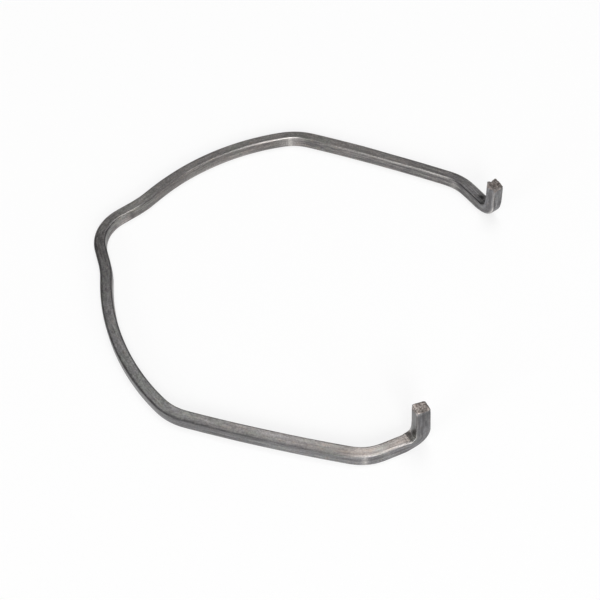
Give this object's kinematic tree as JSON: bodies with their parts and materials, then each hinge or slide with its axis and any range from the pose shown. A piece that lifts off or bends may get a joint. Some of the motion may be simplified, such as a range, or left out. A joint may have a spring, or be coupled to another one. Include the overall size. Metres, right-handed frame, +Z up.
{
  "type": "turbo hose clip",
  "caption": "Open ring of square spring wire with a lifting nose at the back and upturned tips at the mouth, which holds a charge-air hose's quick connector.",
  "frame": {"origin": "middle of the clip's footprint, on the plane that its flat underside rests on", "axes": "+Z up out of the ring, the way the wire's tips stand and along the hose; +X from the nose towards the open mouth; +Y towards the arm with the shorter tip"},
  "size_m": [0.0792, 0.0764, 0.0122],
  "materials": {
    "spring_steel": "drawn spring steel wire, dull grey, with fine streaks along the wire and raw sheared ends"
  },
  "bodies": {
    "root": {"wire_clip": "spring_steel"}
  },
  "joints": []
}
